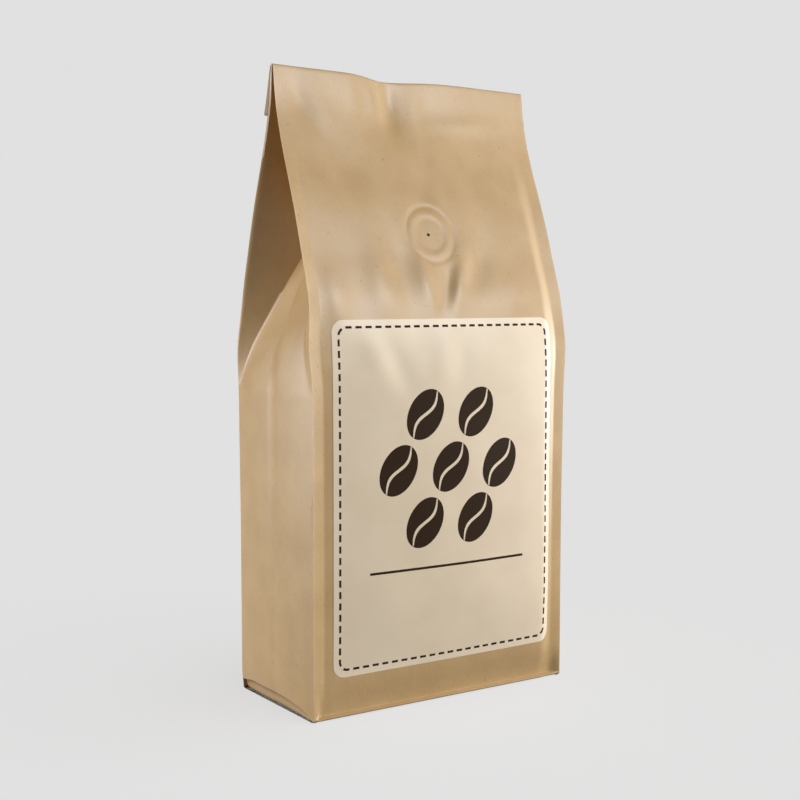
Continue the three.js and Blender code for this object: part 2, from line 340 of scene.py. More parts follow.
def half_width(side, z):
    ear = SHOULDER_EAR * math.exp(-(((z - SHOULDER - 16) / 10) ** 2))
    if side == LEFT:
        return WIDTH / 2 + ear
    return WIDTH / 2 + lerp(RIGHT_BASE, RIGHT_TOP, smoothstep(z, SHOULDER / 2, SHOULDER_TOP)) + ear


def lean(z):
    return TOP_LEAN * smoothstep(z, SHOULDER, HEIGHT - FLAP_LENGTH)


def pillow(facing, across, z):
    rise = smoothstep(z, PILLOW_START, PILLOW_LOW)
    flattening = smoothstep(z, SHOULDER, PILLOW_TOP)
    lopsided = 1 + PILLOW_LOPSIDED * across if facing == FRONT else 1
    return PANEL_PILLOW * rise * (1 - flattening) * (1 - across**2) * lopsided


def buckle(x, z):
    """The soft buckle in the pressed top: 1 in its valley at the crest, 0 away from it."""
    reach = BUCKLE_LEFT if x < BUCKLE_X else BUCKLE_RIGHT
    near = math.exp(-(((x - BUCKLE_X) / reach) ** 2))
    return near * smoothstep(z, HEIGHT - BUCKLE_LENGTH, HEIGHT)


def flap_thickness(z):
    down = (HEIGHT - z) / FLAP_LENGTH
    return lerp(FLAP_THICKNESS_CREST, FLAP_THICKNESS, down)


def side_fold(facing, z):
    """Depth of the side fold at a height, and its ridges' distance from the middle plane."""
    half = crease_half_depth(facing, z)
    paper = crease_half_depth(facing, SHOULDER)
    ridge = paper - clamp(FOLD_CLIMB * (z - SHOULDER), 0, paper)
    squared = paper**2 - half**2 - 2 * ridge * (paper - half)
    closing = clamp((z - FOLD_CLOSE_START) / (HEIGHT - FOLD_CLOSE_START))
    depth = math.sqrt(max(squared, 0)) * (1 - closing**4)
    lip = min(LIP, half / 3)
    return half, lip, depth, clamp(ridge, half * 0.15, half - 2 * lip)


def open_level(facing, z):
    """Distance of a panel's open part from the middle plane, without its pillow."""
    swell = back_swell(z) if facing == BACK else 0
    return panel_curve(z) + swell - crest_rounding(z)


def panel_y(facing, across, z):
    side = LEFT if across < 0 else RIGHT
    edge = half_width(side, z)
    drop = edge_drop(facing, across, edge * (1 - abs(across)), z)
    out = open_level(facing, z) - drop + pillow(facing, across, z)
    shared = dent_depth(across * edge, z) * smoothstep(z, SHEETS_MEET, HEIGHT - FLAP_LENGTH / 2)
    follow = shared if facing == BACK else 0
    return lean(z) + facing * out + BUCKLE_DEPTH * buckle(across * edge, z) + follow


def dent_depth(x, z):
    depth = 0
    for dent_x, dent_z, wide, long, turn, deep in DENTS:
        angle = math.radians(turn)
        aside, along = x - dent_x, z - dent_z
        a = (aside * math.cos(angle) + along * math.sin(angle)) / wide
        b = (along * math.cos(angle) - aside * math.sin(angle)) / long
        depth += deep * math.exp(-(a * a + b * b))
    return depth


def valve_depth(x, z):
    """The round groove and the dish inside it, pressed into the panel."""
    r = math.hypot(x - VALVE_X, z - VALVE_Z)
    groove = GROOVE_DEPTH * math.exp(-(((r - GROOVE_RADIUS) / (GROOVE_WIDTH / 2)) ** 2))
    dish = DISH_DEPTH * (1 - smoothstep(r, DISH_RADIUS - DISH_BEVEL, DISH_RADIUS + DISH_BEVEL))
    return groove + dish


def waviness(x, y, z):
    return WAVE_DEPTH * noise.noise(Vector((x, y, z)) / WAVE_SIZE)


def front_face(x, z, relief=True):
    """Point of the front panel, with its dents, waves and, unless the relief is left out, the valve's."""
    side = LEFT if x < 0 else RIGHT
    across = clamp(x / half_width(side, z), -1, 1)
    edge = smoothstep((1 - abs(across)) * WIDTH / 2, 0, EDGE_CALM)
    inward = edge * (dent_depth(x, z) + waviness(x, -DEPTH / 2, z) * smoothstep(z, 0, WAVE_FADE))
    if relief:
        inward += valve_depth(x, z)
    return Vector((x, panel_y(FRONT, across, z) + inward, z - CREST_DIP * buckle(x, z)))


def foot(rise):
    """How far the base's edge curls in under the bag, by the share of its height over the floor."""
    return FOOT_INSET * (1 - math.sqrt(1 - (1 - rise) ** 2))


class PanelColumn:
    """A column of the bag's skin on a panel. across runs from -1 at the left crease to 1 at the right."""

    def __init__(self, facing, across):
        self.facing = facing
        self.across = across
        self.side = LEFT if across < 0 else RIGHT
        self.lift = RIM_HEIGHT
        self.tuck = RIM_TUCK * smoothstep((1 - abs(across)) * WIDTH / 2, 0, RIM_CORNER)

    def fade(self, z):
        return 1 - smoothstep(z, RIM_HEIGHT, RIM_FADE)

    def tucked(self, rise):
        """How far the paper is set in, by the share of the rim's height."""
        return self.tuck * smoothstep(rise, 0, 1)

    def shade(self, rise):
        return 0.0

    def point(self, z, tucked):
        x = self.across * half_width(self.side, z)
        if self.facing == FRONT:
            at = front_face(x, z)
        else:
            edge = smoothstep((1 - abs(self.across)) * WIDTH / 2, 0, EDGE_CALM)
            wave = edge * waviness(x, DEPTH / 2, z) * smoothstep(z, 0, WAVE_FADE)
            at = Vector((x, panel_y(BACK, self.across, z) - wave, z - CREST_DIP * buckle(x, z)))
        at.y -= self.facing * tucked
        return at

    def crease(self):
        """1 on the crease at a panel's edge, painted paler for rubbed paper and as a painted highlight; 0
        on the open panel.
        """
        return 1 - smoothstep((1 - abs(self.across)) * WIDTH / 2, 0, CREASE_WEAR_AND_HIGHLIGHT)


class SideColumn:
    """The same on a folded side: share runs from 0 at the crease to 1 at the ridge and 2 at the middle."""

    def __init__(self, side, facing, share):
        half, _, _, ridge = side_fold(facing, 0)
        y = lerp(half, ridge, share) if share < 1 else lerp(ridge, 0, share - 1)
        from_front, from_back = half + facing * y, half - facing * y
        arch = 1 - (1 - min(from_front / HEM_ARCH, 1)) ** 2
        self.side = side
        self.facing = facing
        self.share = share
        drop_back = lerp(HEM_BACK, 1, smoothstep(from_back, 0, HEM_ARCH / 2))
        self.lift = lerp(HEM_LOW, HEM_HEIGHT, arch) * drop_back
        self.tuck = HEM_TUCK * arch * smoothstep(from_back, 0, HEM_CORNER)

    def fade(self, z):
        return 0

    def tucked(self, rise):
        return self.tuck + HEM_UNDER * (1 - rise) * smoothstep(self.tuck, 0, HEM_TUCK)

    def shade(self, rise):
        """Up to 1 on the set-in paper under the hem, darkest close under it."""
        return smoothstep(self.tuck, 0, HEM_TUCK / 2) * lerp(HEM_SHADE, 1, smoothstep(rise, 0.4, 0.8))

    def point(self, z, tucked):
        half, lip, depth, ridge = side_fold(self.facing, z)
        crease = open_level(self.facing, z) - edge_drop(self.facing, self.side, 0, z)
        full = filled(z)
        start = crease - lerp(lip, CREASE_WEAR_AND_HIGHLIGHT / 3, full)
        near, far = min(self.share, 1), max(self.share - 1, 0)
        y = lerp(start, ridge, self.share) if self.share < 1 else lerp(ridge, 0, far)
        inward = lerp(lip / 2 * (1 - full), depth, near) + SIDE_CREASE * far**2
        bulge = SIDE_BULGE * full * (1 - (y / half) ** 2) * smoothstep(z, -BULGE_LOW, BULGE_LOW)
        calm = smoothstep(z, 0, WAVE_FADE)
        line = SIDE_LINE_DEPTH * full * math.exp(-((y / SIDE_LINE_WIDTH) ** 2)) * calm
        wave = waviness(self.side * WIDTH / 2, y, z) * min(1, 2 * near) * calm
        out = half_width(self.side, z) - inward + bulge - line - wave * full - tucked
        return Vector((self.side * out, lean(z) + self.facing * y, z))

    def crease(self):
        # 1 on the crease, painted paler for rubbed paper and as a painted highlight
        return 1 - smoothstep(self.share * DEPTH / 4, 0, CREASE_WEAR_AND_HIGHLIGHT)


# Columns round the bag and rows up it, closer together where the shape is finer

def panel_acrosses(near_step, far_step, valve_step):
    """Places across a panel, from the left crease to the right one."""
    half = WIDTH / 2
    valve = GROOVE_RADIUS + 2
    fold = -half + HOLLOW_REACH
    left = [-half, -half + 0.15]
    left += spaced(-half + 0.5, fold - 0.1, near_step)
    left += [fold - 0.1, fold + 0.1]
    left += spaced(fold + near_step, -half + EDGE_CALM, near_step)
    left += spaced(-half + EDGE_CALM, -valve, far_step)
    middle = spaced(-valve, valve, valve_step) + [valve]
    return [x / half for x in left + middle + [-x for x in reversed(left)]]


def side_shares(step):
    """Shares of a half side from just off the crease to just before the middle."""
    quarter = DEPTH / 4
    places = spaced(0, CREASE_WEAR_AND_HIGHLIGHT * 2, step / 2)
    places += spaced(CREASE_WEAR_AND_HIGHLIGHT * 2, quarter, step)
    places += spaced(quarter, 2 * quarter, step)
    return [y / quarter for y in places]


def skin_columns():
    acrosses = panel_acrosses(0.7, 1.3, 0.65)
    shares = side_shares(1.15)

    def half_side(side, facing):
        return [SideColumn(side, facing, share) for share in shares]

    columns = [SideColumn(LEFT, FRONT, 2)]
    columns += half_side(LEFT, FRONT)[::-1]
    columns += [PanelColumn(FRONT, across) for across in acrosses]
    columns += half_side(RIGHT, FRONT)
    columns += [SideColumn(RIGHT, FRONT, 2)]
    columns += half_side(RIGHT, BACK)[::-1]
    columns += [PanelColumn(BACK, -across) for across in acrosses]
    columns += half_side(LEFT, BACK)
    return columns


def skin_rows(columns):
    """Rows of points up the bag, and how shaded each point is."""
    rows = []
    shades = []
    for rise in (0, 0.3, 0.65, 1):
        rows.append([c.point(FOOT_RISE * rise, c.tucked(0) + foot(rise)) for c in columns])
        shades.append([lerp(FOOT_SHADE, c.shade(0), rise**3) for c in columns])
    for rise in (0.2, 0.4, 0.6, 0.8, 0.9, 0.95):
        rows.append([c.point(lerp(FOOT_RISE, c.lift, rise), c.tucked(rise)) for c in columns])
        shades.append([c.shade(rise) for c in columns])
    for rise in (0, 0.3, 0.65):
        levels = [(c, lerp(c.lift, OVER_HEM, rise)) for c in columns]
        rows.append([c.point(z, c.tuck * c.fade(z)) for c, z in levels])
    valve_low, valve_high = VALVE_Z - GROOVE_RADIUS - 3, VALVE_Z + GROOVE_RADIUS + 3
    heights = spaced(OVER_HEM, WAVE_FADE, 1) + spaced(WAVE_FADE, SHOULDER, 1.9)
    heights += spaced(SHOULDER, valve_low, 1.2) + spaced(valve_low, valve_high, 0.65)
    heights += spaced(valve_high, HEIGHT - CREST_RADIUS, 1.1)
    heights += [HEIGHT - CREST_RADIUS * (1 - rise) for rise in (0, 0.35, 0.65, 0.88, 1)]
    rows += [[c.point(z, c.tuck * c.fade(z) if z < RIM_FADE else 0) for c in columns] for z in heights]
    shades += [[0.0] * len(columns)] * (len(rows) - len(shades))
    return rows, shades


def strip_faces(row_count, width):
    """Quads between rows of points round a skin, and strips of quads across its two end rows."""
    faces = []
    for row in range(row_count - 1):
        for i in range(width):
            a = row * width + i
            b = row * width + (i + 1) % width
            faces.append((a, b, b + width, a + width))
    last = (row_count - 1) * width
    for i in range(width // 2 - 1):
        opposite = width - 1 - i
        faces.append((i, opposite, opposite - 1, i + 1))
        faces.append((last + i, last + i + 1, last + opposite - 1, last + opposite))
    if width % 2:
        middle = width // 2
        faces.append((middle - 1, middle + 1, middle))
        faces.append((last + middle - 1, last + middle, last + middle + 1))
    return faces


# From millimetres round the base's middle to the frame: the CAD stands on the middle of its own box

label_low, label_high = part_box("label")
back_reach = max(panel_y(BACK, 0, z) for z in spaced(0, SHOULDER_TOP, 0.5))
SHIFT = Vector((
    (label_low.x + label_high.x) / 2 / MM - LABEL_DRAWN_X,
    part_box("bag")[1].y / MM - back_reach,
    0,
))


def mesh_object(name, points, faces, material, smooth=True):
    mesh = bpy.data.meshes.new(name)
    mesh.from_pydata([(p + SHIFT) * MM for p in points], [], faces)
    mesh.materials.append(material)
    mesh.polygons.foreach_set("use_smooth", [smooth] * len(mesh.polygons))
    mesh.set_sharp_from_angle(angle=math.radians(SHARP_ANGLE))
    made = bpy.data.objects.new(name, mesh)
    bpy.context.scene.collection.objects.link(made)
    return made


def set_attribute(piece, name, values):
    layer = piece.data.attributes.new(name, "FLOAT", "POINT")
    layer.data.foreach_set("value", values)


# Shader maths

class Socket:
    """A shader socket that takes Python's operators. Each one adds its Math node."""

    def __init__(self, tree, socket):
        self.tree = tree
        self.socket = socket

    def maths(self, operation, *values):
        return self.tree.node("ShaderNodeMath", {"operation": operation}, *values)

    def __add__(self, other):
        return self.maths("ADD", self, other)

    def __radd__(self, other):
        return self.maths("ADD", other, self)

    def __sub__(self, other):
        return self.maths("SUBTRACT", self, other)

    def __rsub__(self, other):
        return self.maths("SUBTRACT", other, self)

    def __mul__(self, other):
        return self.maths("MULTIPLY", self, other)

    def __rmul__(self, other):
        return self.maths("MULTIPLY", other, self)

    def step(self, low, high):
        """0 below low, 1 above high, and a smooth rise between them."""
        settings = {"interpolation_type": "SMOOTHSTEP"}
        ends = {"From Min": low, "From Max": high}
        return self.tree.node("ShaderNodeMapRange", settings, Value=self, **ends)


class Tree:
    """A node tree, and one short way to add nodes to it."""

    def __init__(self, tree):
        self.nodes = tree.nodes
        self.links = tree.links

    def node(self, kind, settings, *values, output=0, **named):
        """A node of a kind: its settings first, then its sockets' values or links. Gives one output."""
        made = self.nodes.new(kind)
        for name, value in settings.items():
            setattr(made, name, value)
        for key, value in [*enumerate(values), *named.items()]:
            self.feed(made.inputs[key], value)
        return Socket(self, made.outputs[output])

    def feed(self, socket, value):
        if isinstance(value, Socket):
            self.links.new(value.socket, socket)
        else:
            socket.default_value = value


class Paper(Tree):
    """A material with one Principled shader."""

    def __init__(self, name, roughness):
        self.material = bpy.data.materials.new(name)
        self.material.use_nodes = True
        super().__init__(self.material.node_tree)
        self.shader = self.nodes["Principled BSDF"]
        self.shader.inputs["Roughness"].default_value = roughness
        self.shader.inputs["Specular IOR Level"].default_value = PAPER_SHINE
        self.place = self.node("ShaderNodeTexCoord", {}, output="Object")

    def stretched(self, scale):
        """Object coordinates scaled by (x, y, z), in millimetres."""
        scaled = tuple(s / MM for s in scale)
        return self.node("ShaderNodeMapping", {}, Vector=self.place, Scale=scaled)

    def clouds(self, scale, detail=2.0, roughness=0.5):
        """Noise of 0 to 1 with features of about 1 / scale millimetres."""
        vector = self.stretched(scale if isinstance(scale, tuple) else (scale,) * 3)
        settings = {"Scale": 1.0, "Detail": detail, "Roughness": roughness}
        return self.node("ShaderNodeTexNoise", {}, Vector=vector, **settings)

    def distance(self, point):
        """Distance in millimetres from a point of the bag's drawing."""
        spot = tuple((Vector(point) + SHIFT) * MM)
        settings = {"operation": "DISTANCE"}
        return self.node("ShaderNodeVectorMath", settings, self.place, spot, output="Value") * (1 / MM)

    def mix(self, factor, a, b):
        """A colour between two others, each a colour or a link."""
        made = self.nodes.new("ShaderNodeMix")
        made.data_type = "RGBA"
        self.feed(made.inputs[0], factor)
        self.feed(made.inputs[6], a)
        self.feed(made.inputs[7], b)
        return Socket(self, made.outputs[2])

    def attribute(self, name):
        return self.node("ShaderNodeAttribute", {"attribute_name": name}, output="Fac")

    def finish(self, colour, height, strength, distance, roughness=None):
        settings = {"Strength": strength, "Distance": distance * MM, "Height": height}
        bump = self.node("ShaderNodeBump", {}, output="Normal", **settings)
        self.feed(self.shader.inputs["Normal"], bump)
        self.feed(self.shader.inputs["Base Color"], colour)
        if roughness is not None:
            self.feed(self.shader.inputs["Roughness"], roughness)
        return self.material


def kraft_paper():
    """Brown kraft: faint clouds, fine upright fibres, dark specks, creases painted paler for rubbed paper
    and a painted highlight, and painted shade from the shade attribute.
    """
    paper = Paper("kraft_paper", 0.45)
    clouds = paper.clouds(0.09, 3)
    fibres = paper.clouds((2.2, 2.2, 0.5), 4, 0.6)
    grain = paper.clouds(3.2, 3, 0.6)
    specks = paper.clouds((0.85, 0.85, 0.7), 1).step(0.735, 0.78)
    base = paper.mix(clouds.step(0.3, 0.7), (0.470, 0.287, 0.109, 1), (0.513, 0.323, 0.129, 1))
    base = paper.mix(fibres.step(0.35, 0.75) * 0.35, base, (0.562, 0.371, 0.159, 1))
    base = paper.mix(grain.step(0.55, 0.8) * 0.22, base, (0.374, 0.217, 0.076, 1))
    base = paper.mix(specks * 0.55, base, (0.24, 0.13, 0.06, 1))
    # creases painted paler: rubbed paper, and a painted highlight where a crease catches light
    base = paper.mix(paper.attribute("crease") * 0.15, base, (0.72, 0.53, 0.32, 1))
    # painted shade: under the side hems, on the base's curled edge and on the folded top's two ends
    base = paper.mix(paper.attribute("shade") * 0.9, base, (0.18, 0.085, 0.024, 1))
    # the pinhole isn't cut: a near-black disc of painted shade stands for the dark inside of the hole, and
    # it is made rougher
    x, z = PINHOLE
    pinhole_shade = 1 - paper.distance(front_face(x, z)).step(0.8 * PINHOLE_RADIUS, 1.2 * PINHOLE_RADIUS)
    base = paper.mix(pinhole_shade, base, (0.008, 0.005, 0.003, 1))
    height = fibres * 0.6 + grain * 0.4
    return paper.finish(base, height, 0.2, 0.2, 0.36 + clouds * 0.12 + pinhole_shade * 0.6)


def label_paper():
    """Cream uncoated label stock."""
    paper = Paper("label_paper", 0.45)
    clouds = paper.clouds(0.06, 2)
    grain = paper.clouds((2.6, 2.6, 1.6), 3, 0.6)
    base = paper.mix(clouds.step(0.3, 0.7), (0.765, 0.620, 0.435, 1), (0.805, 0.660, 0.472, 1))
    base = paper.mix(grain.step(0.5, 0.8) * 0.12, base, (0.69, 0.545, 0.375, 1))
    base = paper.mix(paper.attribute("margin") * 0.5, base, (0.86, 0.73, 0.55, 1))
    return paper.finish(base, grain, 0.12, 0.2, 0.41 + grain * 0.08)


def label_ink():
    """Dark brown ink, a little uneven where the paper's grain shows through."""
    paper = Paper("label_ink", 0.5)
    paper.shader.inputs["Specular IOR Level"].default_value = INK_SHINE
    grain = paper.clouds(2.4, 3, 0.6)
    base = paper.mix(grain.step(0.55, 0.85) * 0.4, (0.028, 0.013, 0.004, 1), (0.068, 0.038, 0.016, 1))
    return paper.finish(base, grain, 0.1, 0.15, 0.42 + grain * 0.12)


def floor_paint():
    """Pale studio floor, which glows a little so that it meets the background without an edge."""
    paint = Paper("studio_floor", 0.95)
    paint.shader.inputs["Specular IOR Level"].default_value = 0
    paint.shader.inputs["Base Color"].default_value = (FLOOR_SHADE, FLOOR_SHADE, FLOOR_SHADE, 1)
    paint.shader.inputs["Emission Color"].default_value = (1, 1, 1, 1)
    paint.shader.inputs["Emission Strength"].default_value = BACKGROUND - FLOOR_SHADOW - FLOOR_SHADE * FILL
    return paint.material


# Pieces

def make_bag(kraft):
    columns = skin_columns()
    rows, shades = skin_rows(columns)
    points = [p for row in rows for p in row]
    piece = mesh_object("kraft_bag", points, strip_faces(len(rows), len(columns)), kraft)
    crease_wear_and_highlight = [c.crease() for c in columns]
    set_attribute(piece, "crease", crease_wear_and_highlight * len(rows))
    set_attribute(piece, "shade", [shade for row in shades for shade in row])
    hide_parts("bag")
    return piece


def flap_section():
    """The folded top cut across: down its outer face, back and forth over the paper layers' edges at its
    lower end, and up its inner face, as (height, distance out from the back panel)."""
    low = HEIGHT - FLAP_LENGTH
    heights = [HEIGHT - down for down in spaced(CREST_RADIUS, FLAP_LENGTH, 1.2)]
    outer = [(z, flap_thickness(z)) for z in heights]
    edge = []
    thickness = (FLAP_THICKNESS - FLAP_GAP) / FLAP_LAYERS
    for layer in range(FLAP_LAYERS):
        out = FLAP_THICKNESS - layer * thickness
        end = low - 0.25 * (layer % 2) - 0.12 * layer
        edge += [(end, out - 0.05 * thickness), (end, out - 0.75 * thickness)]
        edge += [(low + FLAP_NOTCH, out - 0.9 * thickness)] * (layer < FLAP_LAYERS - 1)
    inner = [(z, FLAP_GAP) for z in spaced(low + 0.4, HEIGHT - 3, 1.6)]
    return outer + edge + inner


def make_flap(kraft):
    """The folded top, a strip of its own that lies on the back panel from the crest down."""
    half = WIDTH / 2
    places = [-half] + spaced(-half + 0.2, half - 0.2, 1.2) + [half - 0.2, half]
    section = flap_section()
    rows = []
    for place in places:
        row = []
        for z, out in section:
            side = LEFT if place < 0 else RIGHT
            x = place / half * half_width(side, z)
            y = panel_y(BACK, place / half, z) + out
            row.append(Vector((x, y, z - CREST_DIP * buckle(x, z))))
        rows.append(row)
    width = len(section)
    faces = []
    for row in range(len(rows) - 1):
        for i in range(width):
            a, b = row * width + i, row * width + (i + 1) % width
            faces.append((a, a + width, b + width, b))
    last = (len(rows) - 1) * width
    faces.append(tuple(range(width)))
    faces.append(tuple(last + i for i in reversed(range(width))))
    piece = mesh_object("folded_top", [p for row in rows for p in row], faces, kraft)
    # painted shade on the folded top's two ends
    ends = [1.0 if i in (0, len(rows) - 1) else 0.0 for i in range(len(rows))]
    set_attribute(piece, "shade", [end for end in ends for _ in section])
    return piece


def on_label(u, v, lift):
    """Point over the label's face: u to the right and v up from its bottom middle, in its tilted frame."""
    x = LABEL_X + u
    z = LABEL_BOTTOM + v + LABEL_TILT * u
    at = front_face(x, z, relief=False)
    at.y -= LABEL_GAP + LABEL_THICKNESS + lift
    return at


def label_half_width(v):
    from_end = min(v, LABEL_HEIGHT - v, LABEL_CORNER)
    cut = LABEL_CORNER - math.sqrt(LABEL_CORNER**2 - (LABEL_CORNER - from_end) ** 2)
    return LABEL_WIDTH / 2 - cut


def make_label(stock):
    steps = 110
    corner = [LABEL_CORNER * (1 - math.cos(i / 10 * math.pi / 2)) for i in range(11)]
    middle = spaced(LABEL_CORNER, LABEL_HEIGHT - LABEL_CORNER, 1.0)[1:]
    heights = corner + middle + [LABEL_HEIGHT - v for v in reversed(corner)]
    rows = []
    margins = []
    for v in heights:
        half = label_half_width(v)
        across = [lerp(-half, half, i / steps) for i in range(steps + 1)]
        front = [on_label(u, v, 0) for u in across]
        back = [on_label(u, v, -LABEL_THICKNESS) for u in reversed(across)]
        rows.append(front + back)
        edge = min(v, LABEL_HEIGHT - v)
        from_edge = [min(edge, half - abs(u)) for u in across]
        low, high = DASH_INSET - MARGIN_SOFT, DASH_INSET + MARGIN_SOFT
        margins += [1 - smoothstep(d, low, high) for d in from_edge + from_edge[::-1]]
    points = [p for row in rows for p in row]
    piece = mesh_object("paper_label", points, strip_faces(len(rows), len(rows[0])), stock)
    set_attribute(piece, "margin", margins)
    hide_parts("label")
    return piece


def border_point(distance):
    """Place and direction on the dashed border, a distance along it from the middle of its lower side."""
    half_u = LABEL_WIDTH / 2 - DASH_INSET
    half_v = LABEL_HEIGHT / 2 - DASH_INSET
    radius = LABEL_CORNER - DASH_INSET / 2
    straight_u, straight_v = half_u - radius, half_v - radius
    bend = radius * math.pi / 2
    sides = [straight_u, bend, 2 * straight_v, bend, 2 * straight_u, bend, 2 * straight_v, bend, straight_u]
    ends = list(accumulate(sides))
    distance %= ends[-1]
    leg = next(i for i, end in enumerate(ends) if distance < end)
    along = distance - (ends[leg - 1] if leg else 0)
    heading = (leg // 2) * math.pi / 2
    centres = [
        (straight_u, -straight_v),
        (straight_u, straight_v),
        (-straight_u, straight_v),
        (-straight_u, -straight_v),
    ]
    if leg % 2:
        middle_u, middle_v = centres[leg // 2]
        angle = heading - math.pi / 2 + along / radius
        u = middle_u + radius * math.cos(angle)
        v = middle_v + radius * math.sin(angle)
        return u, v, angle + math.pi / 2
    starts = [
        (0, -half_v),
        (half_u, -straight_v),
        (straight_u, half_v),
        (-half_u, straight_v),
        (-straight_u, -half_v),
    ]
    start_u, start_v = starts[leg // 2]
    return start_u + along * math.cos(heading), start_v + along * math.sin(heading), heading


def border_length():
    radius = LABEL_CORNER - DASH_INSET / 2
    straight = LABEL_WIDTH + LABEL_HEIGHT - 4 * DASH_INSET - 4 * radius
    return 2 * straight + 2 * math.pi * radius


def face_normal(u, v):
    """Direction straight out of the label's face."""
    across = on_label(u + 0.5, v, 0) - on_label(u - 0.5, v, 0)
    up = on_label(u, v + 0.5, 0) - on_label(u, v - 0.5, 0)
    return across.cross(up).normalized()


def dash_nodes():
    """Nodes that cut a closed line of edges into even dashes with a flat rectangular section."""
    group = bpy.data.node_groups.new("dashes_along_line", "GeometryNodeTree")
    inputs = {
        "Line": "NodeSocketGeometry",
        "Dash Count": "NodeSocketInt",
        "Steps": "NodeSocketInt",
        "Drawn Steps": "NodeSocketInt",
        "Width": "NodeSocketFloat",
        "Thickness": "NodeSocketFloat",
        "Ink": "NodeSocketMaterial",
    }
    for name, kind in inputs.items():
        group.interface.new_socket(name, in_out="INPUT", socket_type=kind)
    group.interface.new_socket("Dashes", in_out="OUTPUT", socket_type="NodeSocketGeometry")
    tree = Tree(group)
    given = {name: tree.node("NodeGroupInput", {}, output=name) for name in inputs}
    line = tree.node("GeometryNodeMeshToCurve", {}, given["Line"])
    points = given["Dash Count"] * given["Steps"]
    line = tree.node("GeometryNodeResampleCurve", {"mode": "COUNT"}, Curve=line, Count=points)
    edges = tree.node("GeometryNodeCurveToMesh", {}, line)
    index = tree.node("GeometryNodeInputIndex", {})
    step = tree.node("ShaderNodeMath", {"operation": "MODULO"}, index, given["Steps"])
    gap = tree.node("ShaderNodeMath", {"operation": "GREATER_THAN"}, step, given["Drawn Steps"] - 0.5)
    dashes = tree.node("GeometryNodeDeleteGeometry", {"domain": "EDGE"}, edges, gap)
    dashes = tree.node("GeometryNodeMeshToCurve", {}, dashes)
    face = tree.node("GeometryNodeInputNamedAttribute", {"data_type": "FLOAT_VECTOR"}, "face")
    dashes = tree.node("GeometryNodeSetCurveNormal", {"mode": "FREE"}, Curve=dashes, Normal=face)
    section = tree.node("GeometryNodeCurvePrimitiveQuadrilateral", {}, given["Thickness"], given["Width"])
    profile = {"Profile Curve": section, "Fill Caps": True}
    solid = tree.node("GeometryNodeCurveToMesh", {}, Curve=dashes, **profile)
    solid = tree.node("GeometryNodeRealizeInstances", {}, solid)
    solid = tree.node("GeometryNodeSetMaterial", {}, Geometry=solid, Material=given["Ink"])
    tree.feed(tree.nodes.new("NodeGroupOutput").inputs[0], solid)
    return group


def make_border(ink):
    """The dashes: they follow the border's line over the label, also round its corners."""
    total = border_length()
    places = [border_point(distance) for distance in spaced(0, total, BORDER_STEP)]
    places = [(u, v + LABEL_HEIGHT / 2) for u, v, _ in places]
    points = [on_label(u, v, 0) for u, v in places]
    piece = mesh_object("dashed_border", points, [], ink)
    count = len(points)
    piece.data.edges.add(count)
    piece.data.edges.foreach_set("vertices", [n % count for i in range(count) for n in (i, i + 1)])
    face = piece.data.attributes.new("face", "FLOAT_VECTOR", "POINT")
    face.data.foreach_set("vector", [n for u, v in places for n in face_normal(u, v)])
    group = dash_nodes()
    values = {
        "Dash Count": round(total / DASH_PITCH),
        "Steps": DASH_STEPS,
        "Drawn Steps": DASH_DRAWN,
        "Width": DASH_WIDTH * MM,
        "Thickness": 2 * PRINT_LIFT * MM,
        "Ink": ink,
    }
    modifier = piece.modifiers.new("dashes", "NODES")
    modifier.node_group = group
    for socket in group.interface.items_tree:
        if socket.name in values:
            modifier[socket.identifier] = values[socket.name]
    evaluated = piece.evaluated_get(bpy.context.evaluated_depsgraph_get())
    solid = bpy.data.meshes.new_from_object(evaluated)
    piece.modifiers.clear()
    piece.data = solid
    return piece


def bean_half(side):
    """Outline of one half of a bean, as (u, v) round its middle with its length upright: the outer arc, and
    home along one edge of the curved cleft."""
    steps = 20
    arc = []
    for i in range(steps + 1):
        angle = math.pi / 2 - side * math.pi * i / steps
        arc.append((BEAN_WIDTH / 2 * math.cos(angle), BEAN_LENGTH / 2 * math.sin(angle)))
    cleft = []
    for i in range(steps + 1):
        t = lerp(-1, 1, i / steps)
        swing = 0.11 * BEAN_WIDTH * math.sin(math.pi * t)
        gap = BEAN_CLEFT / 2 * (1 - 0.55 * t * t)
        cleft.append((swing + side * gap, 0.97 * BEAN_LENGTH / 2 * t))
    return arc, cleft


def make_beans(ink):
    """Rows of printed beans, each two halves with the bare label showing in the cleft between them."""
    points, faces = [], []
    turn = math.radians(BEAN_TURN)
    for row, count in enumerate(BEAN_ROWS):
        middle_v = BEANS_MIDDLE - LABEL_BOTTOM + BEAN_PITCH_Z * ((len(BEAN_ROWS) - 1) / 2 - row)
        for place in range(count):
            middle_u = BEAN_PITCH_X * (place - (count - 1) / 2)
            for side in (-1, 1):
                arc, cleft = bean_half(side)
                arc = [p for p in arc if side * p[0] > -0.01]
                add_half_bean(points, faces, arc, cleft[::-1], side, turn, middle_u, middle_v)
    return mesh_object("bean_print", points, faces, ink)


